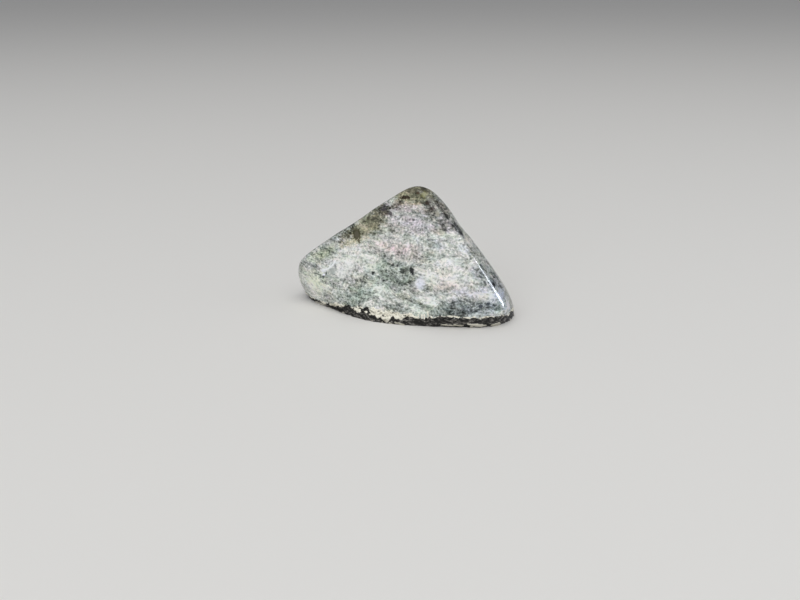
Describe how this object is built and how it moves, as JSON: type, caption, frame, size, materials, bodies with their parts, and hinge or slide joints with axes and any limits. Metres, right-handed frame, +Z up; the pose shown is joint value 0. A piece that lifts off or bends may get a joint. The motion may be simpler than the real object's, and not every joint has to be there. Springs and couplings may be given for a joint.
{
  "type": "serpentine stone",
  "caption": "Hand-sized polished free-form serpentine stone, three-cornered with a blunt summit, that stands on a flat base.",
  "frame": {"origin": "on the base plane, under the middle of the stone's bounding box", "axes": "+X along the stone's longest extent, from the left nose to the right toe; +Z up; the broad polished front looks towards -Y"},
  "size_m": [0.0949, 0.054, 0.0546],
  "materials": {
    "serpentine": "polished, with a rough dark rind round the lower margin"
  },
  "bodies": {
    "root": {"stone": "serpentine"}
  },
  "joints": []
}
